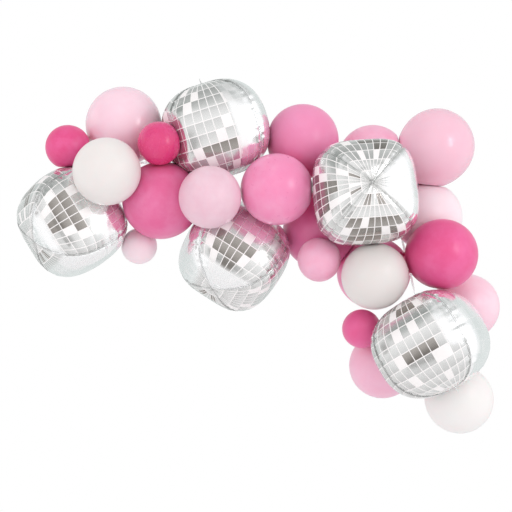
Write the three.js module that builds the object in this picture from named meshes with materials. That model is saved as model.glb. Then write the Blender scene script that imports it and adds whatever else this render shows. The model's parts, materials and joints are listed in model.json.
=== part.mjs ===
// Balloon garland: twenty-one latex balloons and five faceted foil balls on a clear
// decorating strip, shaped as a gentle swag that hangs against a wall.
//
// Units are millimetres. +X runs along the garland, +Z is up and +Y points into the wall.
// The wall is the plane y = 0, and the origin is on the back face of the strip's left tab.

import * as THREE from 'three';

// Decorating strip. Each hole sits in a cell of its own, this long either side of its middle.
const STRIP_WIDTH = 15;
const STRIP_THICKNESS = 0.8;
const STRIP_PITCH = 28;
const STRIP_HOLE_RADIUS = 4.5;
const STRIP_HOLE_CORNERS = 8;
const STRIP_CELL_LENGTH = 8;
const LEFT_TAB_LENGTH = 60;
const RIGHT_TAB_LENGTH = 40;
const TANGENT_STEP = 2;

// Latex balloons.
const LATEX_SEGMENTS = 13;
const SMALL_LATEX_SEGMENTS = 11;
const SMALL_LATEX_RADIUS = 70;
const LATEX_RINGS = 7;
const NECK_STRETCH = 0.09;
const NECK_RADIUS = 2.3;
const SHOULDER_ANGLE = Math.PI * 0.955;
const KNOT_RADIUS = 5.6;
const KNOT_LENGTH = 8;
const LIP_RADIUS = 7.5;
const LIP_LENGTH = 7;
const FREE_NECK_LENGTH = 3;
const KNOT_CLEARANCE = 0.3;

// Foil balls.
const FOIL_AROUND = 24;
const FOIL_RINGS = 7;
const FOIL_POLE_RATIO = 0.93;
const FOIL_MERIDIAN_POWER = 2.35;
const FOIL_SECTION_POWER = 3.2;
const TAIL_HALF_THICKNESS = 0.9;
const TAIL_ROOT_RATIO = 0.7;

// Neighbours press flat against each other with this gap between their skins.
const CONTACT_GAP = 0.4;
const CONTACT_REACH = 12;
const BODY_MARGIN = 0.01;

// The strip's route from the left tab to the right tab, through the middle of the garland.
const STRIP_ROUTE = [
  [-25, 0, -25], [-5, 0, -5], [15, 0, 15], [42, -14, 42], [68, -62, 72],
  [100, -115, 100], [150, -185, 102], [230, -180, 122], [300, -155, 115], [370, -152, 70],
  [435, -225, 40], [525, -222, 36], [590, -186, 38], [650, -178, 38], [715, -178, 36],
  [790, -194, 28], [895, -178, 28], [955, -178, 30], [984, -177, 36], [1004, -177, 29],
  [1012, -180, 8], [1007, -185, -14], [994, -190, -32], [1008, -197, -115],
  [1028, -192, -195], [1058, -145, -310], [1078, -110, -435], [1120, -60, -520],
  [1148, -15, -562], [1165, 0, -585], [1178, 0, -602], [1190, 0, -619],
];

// Latex balloons: centre, radius, finish, and either the hole on the strip that takes the
// neck, as a distance along the strip, or the way that a glued balloon's free neck points.
// `stretch` is the neck's pull on a balloon that is more pear-shaped than the others.
const LATEX_BALLOONS = [
  {
    name: 'latex_small_hot_pink_left', at: [5, -215, 165], radius: 66,
    finish: 'hot_pink', points: [0.55, 0.75, 0.35],
  },
  {
    name: 'latex_light_pink_top_left', at: [165, -135, 240], radius: 115,
    finish: 'light_pink', hole: 376,
  },
  {
    name: 'latex_white_left', at: [135, -340, 85], radius: 99,
    finish: 'white', hole: 326,
  },
  {
    name: 'latex_small_hot_pink_upper', at: [285, -300, 170], radius: 64,
    finish: 'hot_pink', points: [-0.2, 0.97, -0.1],
  },
  {
    name: 'latex_rose_left', at: [285, -232, 5], radius: 115,
    finish: 'rose', hole: 594,
  },
  {
    name: 'latex_pale_pink_front', at: [435, -350, 10], radius: 91,
    finish: 'pale_pink', hole: 688,
  },
  {
    name: 'latex_bubblegum_front', at: [630, -305, 35], radius: 105,
    finish: 'bubblegum', hole: 812,
  },
  {
    name: 'latex_small_blush_below', at: [215, -165, -130], radius: 54,
    finish: 'blush', points: [0.1, 0.95, -0.3],
  },
  {
    name: 'latex_rose_top', at: [710, -165, 190], radius: 109,
    finish: 'rose', hole: 936,
  },
  {
    name: 'latex_deep_pink_centre', at: [765, -117, -85], radius: 115,
    finish: 'deep_pink', hole: 1012,
  },
  {
    name: 'latex_pink_behind_disco', at: [925, -108, 135], radius: 106,
    finish: 'soft_pink', hole: 1168,
  },
  {
    name: 'latex_light_pink_top_right', at: [1120, -125, 175], radius: 115,
    finish: 'light_pink', hole: 1249, stretch: 0.2,
  },
  {
    name: 'latex_blush_right', at: [1095, -108, -40], radius: 106,
    finish: 'blush', hole: 1289,
  },
  {
    name: 'latex_hot_pink_right', at: [1120, -268, -155], radius: 104,
    finish: 'hot_pink', hole: 1446,
  },
  {
    name: 'latex_light_pink_right', at: [1215, -105, -315], radius: 100,
    finish: 'light_pink', hole: 1648,
  },
  {
    name: 'latex_white_centre', at: [915, -305, -220], radius: 97,
    finish: 'white', hole: 1471,
  },
  {
    name: 'latex_bubblegum_behind_white', at: [925, -114, -210], radius: 109,
    finish: 'bubblegum', hole: 1499,
  },
  {
    name: 'latex_small_pink_centre', at: [755, -266, -170], radius: 64,
    finish: 'soft_pink', points: [0, 0.72, -0.69],
  },
  {
    name: 'latex_small_hot_pink_lower', at: [885, -210, -378], radius: 58,
    finish: 'hot_pink', points: [-0.3, 0.95, 0],
  },
  {
    name: 'latex_pink_lower', at: [955, -110, -495], radius: 101,
    finish: 'soft_pink', hole: 1758,
  },
  {
    name: 'latex_white_bottom', at: [1185, -155, -595], radius: 103,
    finish: 'white', hole: 1866,
  },
];

// Foil balls: centre, half width across the flats, the way that the pole points, the way
// that one of the four gores faces, and the tail's width and length at each pole.
const FOIL_BALLS = [
  {
    name: 'foil_disco_left', at: [15, -188, -55], half: 155, pole: [-0.74, -0.5, -0.45],
    gore: [0, -1, 0], frontTail: null, backTail: [11, 36],
  },
  {
    name: 'foil_disco_top', at: [447, -188, 219], half: 160, pole: [-0.3, -0.1, 0.95],
    gore: [0, -1, 0], frontTail: [6, 12], backTail: null,
  },
  {
    name: 'foil_disco_lower', at: [502, -168, -158], half: 154, pole: [-0.46, -0.53, -0.71],
    gore: [0, -1, 0], frontTail: null, backTail: [11, 36],
  },
  {
    name: 'foil_disco_front', at: [885, -340, 25], half: 151, pole: [0.08, -0.98, 0.17],
    gore: [1, 0, 0.09], frontTail: null, backTail: null,
  },
  {
    name: 'foil_disco_right', at: [1080, -305, -417], half: 160, pole: [0.47, -0.2, -0.86],
    gore: [-0.26, -0.95, -0.14], frontTail: [6, 12], backTail: null,
  },
];

const FINISHES = {
  hot_pink: new THREE.MeshStandardMaterial({ color: 0xe5508f, roughness: 0.38, metalness: 0 }),
  rose: new THREE.MeshStandardMaterial({ color: 0xe873a6, roughness: 0.4, metalness: 0 }),
  deep_pink: new THREE.MeshStandardMaterial({ color: 0xea6fa8, roughness: 0.42, metalness: 0 }),
  bubblegum: new THREE.MeshStandardMaterial({ color: 0xf59cc4, roughness: 0.4, metalness: 0 }),
  soft_pink: new THREE.MeshStandardMaterial({ color: 0xf2b0cb, roughness: 0.42, metalness: 0 }),
  light_pink: new THREE.MeshStandardMaterial({ color: 0xf9d3e1, roughness: 0.38, metalness: 0 }),
  pale_pink: new THREE.MeshStandardMaterial({ color: 0xecc8d6, roughness: 0.42, metalness: 0 }),
  blush: new THREE.MeshStandardMaterial({ color: 0xf6dde6, roughness: 0.42, metalness: 0 }),
  white: new THREE.MeshStandardMaterial({ color: 0xf0ecea, roughness: 0.42, metalness: 0 }),
  silver: new THREE.MeshStandardMaterial({ color: 0xd6d8d6, roughness: 0.16, metalness: 1 }),
  clear: new THREE.MeshStandardMaterial({ color: 0xe8edf0, roughness: 0.2, metalness: 0 }),
};

const WALL_NORMAL = new THREE.Vector3(0, 1, 0);
const BALLOON_AXIS = new THREE.Vector3(0, 0, 1);

function vector(triple) {
  return new THREE.Vector3(...triple);
}

// ---- Strip ----

const stripCurve = new THREE.CatmullRomCurve3(STRIP_ROUTE.map(vector), false, 'centripetal');
const stripLength = stripCurve.getLength();

// A point on the strip's centre line. The tabs at both ends lie flat on the wall plane.
function stripPoint(distance) {
  const point = stripCurve.getPointAt(THREE.MathUtils.clamp(distance / stripLength, 0, 1));
  point.y = Math.min(point.y, -STRIP_THICKNESS / 2);
  return point;
}

function stripTangent(distance) {
  const ahead = stripPoint(distance + TANGENT_STEP);
  return ahead.sub(stripPoint(distance - TANGENT_STEP)).normalize();
}

const tiedBalloons = LATEX_BALLOONS
  .filter((balloon) => balloon.hole !== undefined)
  .sort((a, b) => a.hole - b.hole);

// Each key turns the strip so that a neck meets its flat side squarely.
function stripTwistKeys() {
  const keys = tiedBalloons.map((balloon) => ({
    distance: balloon.hole,
    facing: vector(balloon.at).sub(stripPoint(balloon.hole)).normalize(),
  }));
  for (const distance of [0, LEFT_TAB_LENGTH, stripLength - RIGHT_TAB_LENGTH, stripLength]) {
    keys.push({ distance, facing: WALL_NORMAL });
  }
  return keys.sort((a, b) => a.distance - b.distance);
}

function acrossTangent(direction, tangent) {
  return direction.clone().addScaledVector(tangent, -direction.dot(tangent)).normalize();
}

const twistKeys = stripTwistKeys();

// The strip's face normal: blended between the keys, the short way round, because either
// side of the strip may face a neck.
function stripNormal(distance) {
  const after = twistKeys.findIndex((key) => key.distance >= distance);
  const tangent = stripTangent(distance);
  if (after <= 0) return acrossTangent(WALL_NORMAL, tangent);
  const before = twistKeys[after - 1];
  const next = twistKeys[after];
  const share = (distance - before.distance) / (next.distance - before.distance);
  const start = acrossTangent(before.facing, tangent);
  const end = acrossTangent(next.facing, tangent);
  if (start.dot(end) < 0) end.negate();
  return acrossTangent(start.lerp(end, THREE.MathUtils.smoothstep(share, 0, 1)), tangent);
}

// The strip's stations in order, from tab to tab. A hole has one station through its
// middle and one at each end of its cell, and the plain lengths between are cut evenly.
function stripStations() {
  const marks = [{ distance: 0 }, { distance: LEFT_TAB_LENGTH }];
  for (const { hole } of tiedBalloons) {
    marks.push({ distance: hole - STRIP_CELL_LENGTH });
    marks.push({ distance: hole, isHole: true });
    marks.push({ distance: hole + STRIP_CELL_LENGTH });
  }
  marks.push({ distance: stripLength - RIGHT_TAB_LENGTH }, { distance: stripLength });
  const stations = [];
  let last = null;
  for (const mark of marks) {
    const start = last ? last.distance : mark.distance;
    const cuts = Math.max(1, Math.round((mark.distance - start) / STRIP_PITCH));
    for (let k = 1; k < cuts; k += 1) {
      stations.push({ distance: start + ((mark.distance - start) * k) / cuts });
    }
    stations.push(mark);
    last = mark;
  }
  return stations;
}

// Gives each station its centre and directions, without a sudden turn between neighbours.
function placeStations(stations) {
  let previous = WALL_NORMAL;
  for (const station of stations) {
    station.centre = stripPoint(station.distance);
    station.along = stripTangent(station.distance);
    station.normal = stripNormal(station.distance);
    if (station.normal.dot(previous) < 0) station.normal.negate();
    station.across = new THREE.Vector3().crossVectors(station.along, station.normal);
    previous = station.normal;
  }
  return stations;
}

// A point on one face of the strip: face is 1 or -1.
function facePoint(station, along, across, face) {
  return station.centre.clone()
    .addScaledVector(station.along, along)
    .addScaledVector(station.across, across)
    .addScaledVector(station.normal, (face * STRIP_THICKNESS) / 2);
}

// Collects triangles, four-sided panels and the vertices that they share.
class Skin {
  constructor() {
    this.positions = [];
    this.index = [];
    this.known = new Map();
  }

  vertex(point) {
    const key = point.toArray().map((value) => value.toFixed(6)).join();
    if (!this.known.has(key)) {
      this.known.set(key, this.known.size);
      this.positions.push(...point);
    }
    return this.known.get(key);
  }

  panel(a, b, c, d) {
    const [i, j, k, l] = [a, b, c, d].map((point) => this.vertex(point));
    this.index.push(i, j, k, i, k, l);
  }

  // The same panel on both faces of the strip, cut along the same diagonal so that the
  // faces stay parallel. `corners` takes a face and gives four points.
  faces(corners) {
    this.panel(...corners(1));
    const [a, b, c, d] = corners(-1);
    this.panel(a, d, c, b);
  }
}

// The outline of a hole's cell, from three stations: eight points that go round with the
// hole's own eight corners.
function cellOutline(before, middle, after, face) {
  const half = STRIP_WIDTH / 2;
  return [
    facePoint(after, 0, 0, face), facePoint(after, 0, half, face),
    facePoint(middle, 0, half, face), facePoint(before, 0, half, face),
    facePoint(before, 0, 0, face), facePoint(before, 0, -half, face),
    facePoint(middle, 0, -half, face), facePoint(after, 0, -half, face),
  ];
}

function holeOutline(middle, face) {
  const corners = [];
  for (let k = 0; k < STRIP_HOLE_CORNERS; k += 1) {
    const angle = (2 * Math.PI * k) / STRIP_HOLE_CORNERS;
    const along = STRIP_HOLE_RADIUS * Math.cos(angle);
    corners.push(facePoint(middle, along, STRIP_HOLE_RADIUS * Math.sin(angle), face));
  }
  return corners;
}

// A cell with a hole through it: a ring of panels on both faces, and the hole's wall.
function addHoleCell(skin, before, middle, after) {
  for (let k = 0; k < STRIP_HOLE_CORNERS; k += 1) {
    const next = (k + 1) % STRIP_HOLE_CORNERS;
    skin.faces((face) => {
      const outer = cellOutline(before, middle, after, face);
      const inner = holeOutline(middle, face);
      return [inner[k], inner[next], outer[next], outer[k]];
    });
    const front = holeOutline(middle, 1);
    const back = holeOutline(middle, -1);
    skin.panel(front[next], front[k], back[k], back[next]);
  }
}

function addPlainLength(skin, from, to) {
  const half = STRIP_WIDTH / 2;
  for (const [low, high] of [[-half, 0], [0, half]]) {
    skin.faces((face) => [
      facePoint(from, 0, high, face), facePoint(to, 0, high, face),
      facePoint(to, 0, low, face), facePoint(from, 0, low, face),
    ]);
  }
}

function addLongEdges(skin, from, to) {
  for (const side of [1, -1]) {
    const edge = (side * STRIP_WIDTH) / 2;
    skin.panel(
      facePoint(from, 0, edge, -side), facePoint(to, 0, edge, -side),
      facePoint(to, 0, edge, side), facePoint(from, 0, edge, side),
    );
  }
}

function addEnd(skin, station, turn) {
  const half = STRIP_WIDTH / 2;
  for (const [low, high] of [[-half, 0], [0, half]]) {
    skin.panel(
      facePoint(station, 0, low, turn), facePoint(station, 0, high, turn),
      facePoint(station, 0, high, -turn), facePoint(station, 0, low, -turn),
    );
  }
}

// The strip as one closed skin, with a hole through it for every tied neck.
function stripGeometry() {
  const stations = placeStations(stripStations());
  const skin = new Skin();
  for (let k = 1; k < stations.length; k += 1) {
    const [before, station] = [stations[k - 1], stations[k]];
    addLongEdges(skin, before, station);
    if (station.isHole) addHoleCell(skin, before, station, stations[k + 1]);
    else if (!before.isHole) addPlainLength(skin, before, station);
  }
  addEnd(skin, stations[0], -1);
  addEnd(skin, stations[stations.length - 1], 1);
  return indexedGeometry(skin.positions, skin.index);
}

function indexedGeometry(positions, index) {
  const geometry = new THREE.BufferGeometry();
  geometry.setAttribute('position', new THREE.Float32BufferAttribute(positions, 3));
  geometry.setIndex(index);
  return geometry;
}

// ---- Latex balloons ----

// Radius and height pairs from the crown to the lip. Height grows towards the neck.
function latexProfile(radius, stretch, knotStart) {
  const profile = [];
  for (let ring = 0; ring <= LATEX_RINGS; ring += 1) {
    const angle = (SHOULDER_ANGLE * ring) / LATEX_RINGS;
    const neckSide = (1 - Math.cos(angle)) / 2;
    const height = -radius * Math.cos(angle) + stretch * radius * neckSide ** 3;
    profile.push(new THREE.Vector2(radius * Math.sin(angle), height));
  }
  profile.push(new THREE.Vector2(NECK_RADIUS, knotStart - FREE_NECK_LENGTH));
  profile.push(new THREE.Vector2(NECK_RADIUS, knotStart));
  profile.push(new THREE.Vector2(KNOT_RADIUS, knotStart + KNOT_LENGTH / 2));
  profile.push(new THREE.Vector2(NECK_RADIUS, knotStart + KNOT_LENGTH));
  profile.push(new THREE.Vector2(LIP_RADIUS, knotStart + KNOT_LENGTH + LIP_LENGTH));
  profile.push(new THREE.Vector2(0, knotStart + KNOT_LENGTH + LIP_LENGTH));
  return profile;
}

function latexBalloon(spec) {
  const centre = vector(spec.at);
  const direction = new THREE.Vector3();
  const stretch = spec.stretch ?? NECK_STRETCH;
  const bodyHeight = spec.radius * (1 + stretch);
  let knotStart = bodyHeight + FREE_NECK_LENGTH;
  if (spec.hole === undefined) {
    direction.copy(vector(spec.points)).normalize();
  } else {
    direction.copy(stripPoint(spec.hole)).sub(centre);
    knotStart = direction.length() + STRIP_THICKNESS + KNOT_CLEARANCE;
    direction.normalize();
  }
  const segments = spec.radius < SMALL_LATEX_RADIUS ? SMALL_LATEX_SEGMENTS : LATEX_SEGMENTS;
  const profile = latexProfile(spec.radius, stretch, knotStart);
  const geometry = new THREE.LatheGeometry(profile, segments);
  geometry.rotateX(Math.PI / 2);
  const mesh = new THREE.Mesh(geometry, FINISHES[spec.finish]);
  mesh.name = spec.name;
  mesh.position.copy(centre);
  mesh.quaternion.setFromUnitVectors(BALLOON_AXIS, direction);
  mesh.userData.bodyHeight = bodyHeight;
  return mesh;
}

// ---- Foil balls ----

// How far the rounded-square section reaches at an angle. Its corners, at 45 degrees to
// the gores' middles, are where the seams run.
function foilSection(angle) {
  const c = Math.abs(Math.cos(angle)) ** FOIL_SECTION_POWER;
  const s = Math.abs(Math.sin(angle)) ** FOIL_SECTION_POWER;
  return (c + s) ** (-1 / FOIL_SECTION_POWER);
}

function foilRing(halfWidth, halfDepth, height) {
  const ring = [];
  for (let k = 0; k < FOIL_AROUND; k += 1) {
    const angle = (2 * Math.PI * k) / FOIL_AROUND;
    ring.push([halfWidth * Math.cos(angle), halfDepth * Math.sin(angle), height]);
  }
  return ring;
}

// The flat film tail at one pole, as rings from its root to its end.
function tailRings(tail, poleHeight, side) {
  if (!tail) return [];
  const [halfWidth, length] = tail;
  return [
    foilRing(halfWidth * TAIL_ROOT_RATIO, TAIL_HALF_THICKNESS, side * poleHeight),
    foilRing(halfWidth, TAIL_HALF_THICKNESS, side * (poleHeight + length)),
  ];
}

function foilGeometry(spec) {
  const power = 2 / FOIL_MERIDIAN_POWER;
  const poleHeight = spec.half * FOIL_POLE_RATIO;
  const rings = tailRings(spec.backTail, poleHeight, -1).reverse();
  for (let k = 1; k < FOIL_RINGS + 1; k += 1) {
    const angle = Math.PI - (Math.PI * k) / (FOIL_RINGS + 1);
    const height = poleHeight * Math.sign(Math.cos(angle)) * Math.abs(Math.cos(angle)) ** power;
    const reach = spec.half * Math.sin(angle) ** power;
    const ring = foilRing(reach, reach, height);
    for (const [around, point] of ring.entries()) {
      const bulge = foilSection((2 * Math.PI * around) / FOIL_AROUND);
      point[0] *= bulge;
      point[1] *= bulge;
    }
    rings.push(ring);
  }
  rings.push(...tailRings(spec.frontTail, poleHeight, 1));
  const bottom = spec.backTail ? rings[0][0][2] : -poleHeight;
  const top = spec.frontTail ? rings[rings.length - 1][0][2] : poleHeight;
  return closedRings(rings, bottom, top);
}

// Joins a stack of rings into one skin, closed by a point at each end of the Z axis.
function closedRings(rings, bottom, top) {
  const around = rings[0].length;
  const positions = rings.flat(2);
  const low = rings.length * around;
  positions.push(0, 0, bottom, 0, 0, top);
  const index = [];
  for (let k = 0; k < around; k += 1) {
    const next = (k + 1) % around;
    index.push(low, next, k);
    for (let ring = 0; ring + 1 < rings.length; ring += 1) {
      const a = ring * around + k;
      const b = ring * around + next;
      index.push(a, b, b + around, a, b + around, a + around);
    }
    const last = (rings.length - 1) * around;
    index.push(low + 1, last + k, last + next);
  }
  return indexedGeometry(positions, index);
}

function foilBall(spec) {
  const mesh = new THREE.Mesh(foilGeometry(spec), FINISHES.silver);
  const pole = vector(spec.pole).normalize();
  const gore = acrossTangent(vector(spec.gore), pole);
  const side = new THREE.Vector3().crossVectors(pole, gore);
  mesh.name = spec.name;
  mesh.position.copy(vector(spec.at));
  mesh.quaternion.setFromRotationMatrix(new THREE.Matrix4().makeBasis(gore, side, pole));
  mesh.userData.bodyHeight = spec.half * FOIL_POLE_RATIO;
  return mesh;
}

// ---- Contact between neighbours ----

// The vertices of a balloon's body, leaving out its neck, knot and tails, which lie
// further along its axis.
function bodyVertices(mesh) {
  const points = mesh.geometry.attributes.position;
  const limit = mesh.userData.bodyHeight + BODY_MARGIN;
  const found = [];
  for (let k = 0; k < points.count; k += 1) {
    if (Math.abs(points.getZ(k)) < limit) found.push(k);
  }
  return found;
}

function inMeshFrame(mesh, direction) {
  return direction.clone().applyQuaternion(mesh.quaternion.clone().invert());
}

// How far a balloon's body reaches from its centre along a direction.
function bodyReach(mesh, direction) {
  const local = inMeshFrame(mesh, direction);
  const points = mesh.geometry.attributes.position;
  const point = new THREE.Vector3();
  let reach = 0;
  for (const k of mesh.userData.body) {
    point.fromBufferAttribute(points, k);
    reach = Math.max(reach, point.dot(local));
  }
  return reach;
}

// Flattens the part of the body that lies further than `limit` along a direction.
function pressFlat(mesh, direction, limit) {
  const local = inMeshFrame(mesh, direction);
  const points = mesh.geometry.attributes.position;
  const point = new THREE.Vector3();
  for (const k of mesh.userData.body) {
    point.fromBufferAttribute(points, k);
    const excess = point.dot(local) - limit;
    if (excess > 0) {
      point.addScaledVector(local, -excess);
      points.setXYZ(k, point.x, point.y, point.z);
    }
  }
}

// Finds every pair that meets, and shares the overlap between the two skins.
function pressNeighbours(balloons) {
  const contacts = [];
  for (const balloon of balloons) balloon.userData.body = bodyVertices(balloon);
  for (let i = 0; i < balloons.length; i += 1) {
    for (let j = i + 1; j < balloons.length; j += 1) {
      const direction = balloons[j].position.clone().sub(balloons[i].position);
      const distance = direction.length();
      direction.normalize();
      const reachI = bodyReach(balloons[i], direction);
      const reachJ = bodyReach(balloons[j], direction.clone().negate());
      const overlap = reachI + reachJ - distance;
      if (overlap > -CONTACT_REACH) contacts.push({ i, j, direction, distance, reachI, overlap });
    }
  }
  for (const { i, j, direction, distance, reachI, overlap } of contacts) {
    const plane = reachI - overlap / 2;
    pressFlat(balloons[i], direction, plane - CONTACT_GAP / 2);
    pressFlat(balloons[j], direction.clone().negate(), distance - plane - CONTACT_GAP / 2);
  }
}

// ---- Garland ----

const garland = new THREE.Group();
garland.name = 'balloon_garland';

const strip = new THREE.Mesh(stripGeometry(), FINISHES.clear);
strip.name = 'garland_strip';
garland.add(strip);

const balloons = [...LATEX_BALLOONS.map(latexBalloon), ...FOIL_BALLS.map(foilBall)];
pressNeighbours(balloons);
for (const balloon of balloons) garland.add(balloon);

export default garland;
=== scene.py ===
"""Balloon garland: a swag of pink and white latex balloons and silver faceted foil balls.

Every balloon's centre and size, and a latex one's neck direction, are fitted to its CAD
node. It is then rebuilt as a fine surface: a taut skin with its neck, knot and rolled lip,
or a four-gore foil ball with its seams, puckers and printed grid. Neighbours press flat
against each other. The strip is its CAD mesh with softened edges.
Lengths are in metres, in the row frame: +X right, +Y into the wall, +Z up.
"""

import json
import math

import bmesh
import bpy
import numpy as np
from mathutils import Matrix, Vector


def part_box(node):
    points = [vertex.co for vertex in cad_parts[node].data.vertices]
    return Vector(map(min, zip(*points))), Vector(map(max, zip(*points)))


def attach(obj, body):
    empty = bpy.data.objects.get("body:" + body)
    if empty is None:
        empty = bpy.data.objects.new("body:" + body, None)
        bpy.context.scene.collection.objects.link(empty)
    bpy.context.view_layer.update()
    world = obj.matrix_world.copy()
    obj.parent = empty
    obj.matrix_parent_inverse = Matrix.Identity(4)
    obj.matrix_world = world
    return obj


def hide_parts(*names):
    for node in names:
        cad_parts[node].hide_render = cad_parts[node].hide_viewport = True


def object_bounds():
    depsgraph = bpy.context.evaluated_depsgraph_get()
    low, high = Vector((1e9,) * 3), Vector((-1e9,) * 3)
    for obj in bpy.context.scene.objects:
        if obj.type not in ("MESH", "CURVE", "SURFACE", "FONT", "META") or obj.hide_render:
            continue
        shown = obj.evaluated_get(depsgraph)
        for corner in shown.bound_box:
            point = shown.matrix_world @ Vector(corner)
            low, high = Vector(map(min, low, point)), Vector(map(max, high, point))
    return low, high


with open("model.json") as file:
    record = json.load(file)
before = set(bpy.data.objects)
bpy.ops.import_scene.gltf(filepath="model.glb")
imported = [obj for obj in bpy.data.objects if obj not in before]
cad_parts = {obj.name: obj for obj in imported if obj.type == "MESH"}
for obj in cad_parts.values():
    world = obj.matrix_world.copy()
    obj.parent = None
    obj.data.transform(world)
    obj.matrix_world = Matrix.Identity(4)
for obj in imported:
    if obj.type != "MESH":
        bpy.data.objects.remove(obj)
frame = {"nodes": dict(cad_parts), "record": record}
cad_low, cad_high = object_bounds()

# The proportions of the CAD balloons.
NECK_STRETCH = 0.09
NECK_STRETCHES = {"latex_light_pink_top_right": 0.2}
SHOULDER_ANGLE = math.pi * 0.955
NECK_RADIUS = 0.0023
KNOT_LENGTH = 0.008
KNOT_RADIUS = 0.0056
LIP_LENGTH = 0.007
LIP_RADIUS = 0.0075
FREE_NECK = 0.003
FOIL_POLE_RATIO = 0.93
FOIL_MERIDIAN_POWER = 2.35
FOIL_SECTION_POWER = 3.2

# Which way each foil ball's first pole points and one gore faces, and where its tail is:
# 1 at the first pole, -1 at the second, 0 for none.
FOIL_TURNS = {
    "foil_disco_left": {"pole": (-0.74, -0.5, -0.45), "gore": (0, -1, 0), "tail": -1},
    "foil_disco_top": {"pole": (-0.3, -0.1, 0.95), "gore": (0, -1, 0), "tail": 1},
    "foil_disco_lower": {"pole": (-0.46, -0.53, -0.71), "gore": (0, -1, 0), "tail": -1},
    "foil_disco_front": {"pole": (0.08, -0.98, 0.17), "gore": (1, 0, 0.09), "tail": 0},
    "foil_disco_right": {"pole": (0.47, -0.2, -0.86), "gore": (-0.26, -0.95, -0.14), "tail": 1},
}

# A gore's printed tiles from its first pole to its second: W white, D dark, . grey.
# The film is printed by the metre, so neighbouring gores show different stretches of it.
GORE_PRINTS = (
    (
        "..........",
        "..........",
        ".W........",
        "...W....W.",
        "..W....W..",
        "..........",
        "......W...",
        ".....W....",
        "..WDDDDW..",
        "...W...W..",
        ".W....W...",
        "....W.....",
        "..W....W..",
        "..........",
    ),
    (
        "..........",
        "..DD..DD..",
        "..........",
        ".DDWDDDDD.",
        ".WDDDDWDW.",
        "..DDDD....",
        "...W......",
        ".W....W...",
        "....W.....",
        "..W...W.W.",
        ".....W....",
        ".W......W.",
        "....W.....",
        "..........",
    ),
    (
        "..........",
        "..D..W.D..",
        "..W....W..",
        "....DD.W..",
        "...WDDDDW.",
        "..WDDDDD..",
        "....W..W..",
        ".W........",
        ".....W..W.",
        "..WDDDD...",
        "......W...",
        "...W......",
        ".......W..",
        "..........",
    ),
    (
        "..........",
        "..........",
        "...W..W...",
        "..DD......",
        "..DDDD.W..",
        ".W...W.DW.",
        "....W...W.",
        "..W.......",
        ".DDDDW....",
        "......W.W.",
        "..W.......",
        ".....W....",
        "...W......",
        "..........",
    ),
    (
        "..........",
        "..........",
        "......W...",
        "...W......",
        ".......W..",
        "..WW......",
        "...DDDDW..",
        ".W........",
        "....W.W...",
        "..........",
        "..WDDDW...",
        ".....W....",
        "...W......",
        "..........",
    ),
)
# Where a painted highlight leaves the film bright silver without print: gore, first and last
# column, first and last row.
HIGHLIGHT_PAINT_AREAS = {
    "foil_disco_left": ((0, 0, 10, 7.2, 14), (0, 0, 10, 0, 2.6), (3, 0, 10, 3, 9)),
    "foil_disco_top": ((0, 7.6, 10, 3, 11), (1, 0, 2, 3, 11)),
    "foil_disco_lower": ((0, 0, 10, 7.2, 14), (0, 0, 10, 0, 2.8), (1, 0, 10, 2, 7)),
    "foil_disco_front": ((0, 0.8, 9.2, 1.2, 5.6),),
    "foil_disco_right": ((3, 0, 10, 0, 14), (0, 0, 1.6, 6, 14)),
}
# Which print each gore carries, starting at the gore that FOIL_TURNS names.
GORE_ORDER = {
    "foil_disco_left": (2, 3, 0, 1),
    "foil_disco_top": (0, 2, 3, 1),
    "foil_disco_lower": (2, 3, 1, 0),
    "foil_disco_front": (0, 3, 2, 1),
    "foil_disco_right": (4, 0, 2, 1),
}
TILE_ROWS = 14
TILE_COLUMNS = 10


# ---------------------------------------------------------------- fitting the CAD nodes

# How close a neck's vertices lie to each other, and how far they reach round its middle.
CROWD_REACH = 0.006
NECK_REACH = 0.03
NECK_SPACING = 0.009
NECK_NEIGHBOURS = 6
# A balloon's body starts this far from its neck.
BODY_START = 0.035
# The crown is the part below this share of the radius along the neck's direction.
CROWN_LIMIT = 0.3
# The share of the crown's vertices that each round of the latex fit keeps.
KEPT_SHARES = (1.0, 0.8, 0.65, 0.55, 0.5, 0.5, 0.5, 0.5)
# How far a vertex may be off the surface in each round of the foil fit.
FOIL_TOLERANCES = (0.03, 0.02, 0.012, 0.008, 0.005, 0.003, 0.002, 0.001, 0.001, 0.001)
FIT_STEP = 1e-4


def node_points(name):
    """A CAD node's distinct vertices, as rows of x, y, z."""
    mesh = frame["nodes"][name].data
    flat = np.empty(len(mesh.vertices) * 3)
    mesh.vertices.foreach_get("co", flat)
    return np.unique(np.round(flat.reshape(-1, 3), 6), axis=0)


def unit(vector):
    vector = np.asarray(vector, dtype=float)
    return vector / np.linalg.norm(vector)


def close_counts(points, reach):
    """How many of the points lie within reach of each point, itself included."""
    return (np.linalg.norm(points[:, None] - points[None], axis=2) < reach).sum(axis=1)


def neck_line(points):
    """The middle of a balloon's neck and its direction: the neck is where vertices crowd."""
    core = points[close_counts(points, CROWD_REACH).argmax()]
    near = points[np.linalg.norm(points - core, axis=1) < NECK_REACH]
    crowded = near[close_counts(near, NECK_SPACING) >= NECK_NEIGHBOURS]
    middle = crowded.mean(axis=0)
    direction = np.linalg.svd(crowded - middle, full_matrices=False)[2][0]
    return middle, direction


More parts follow.
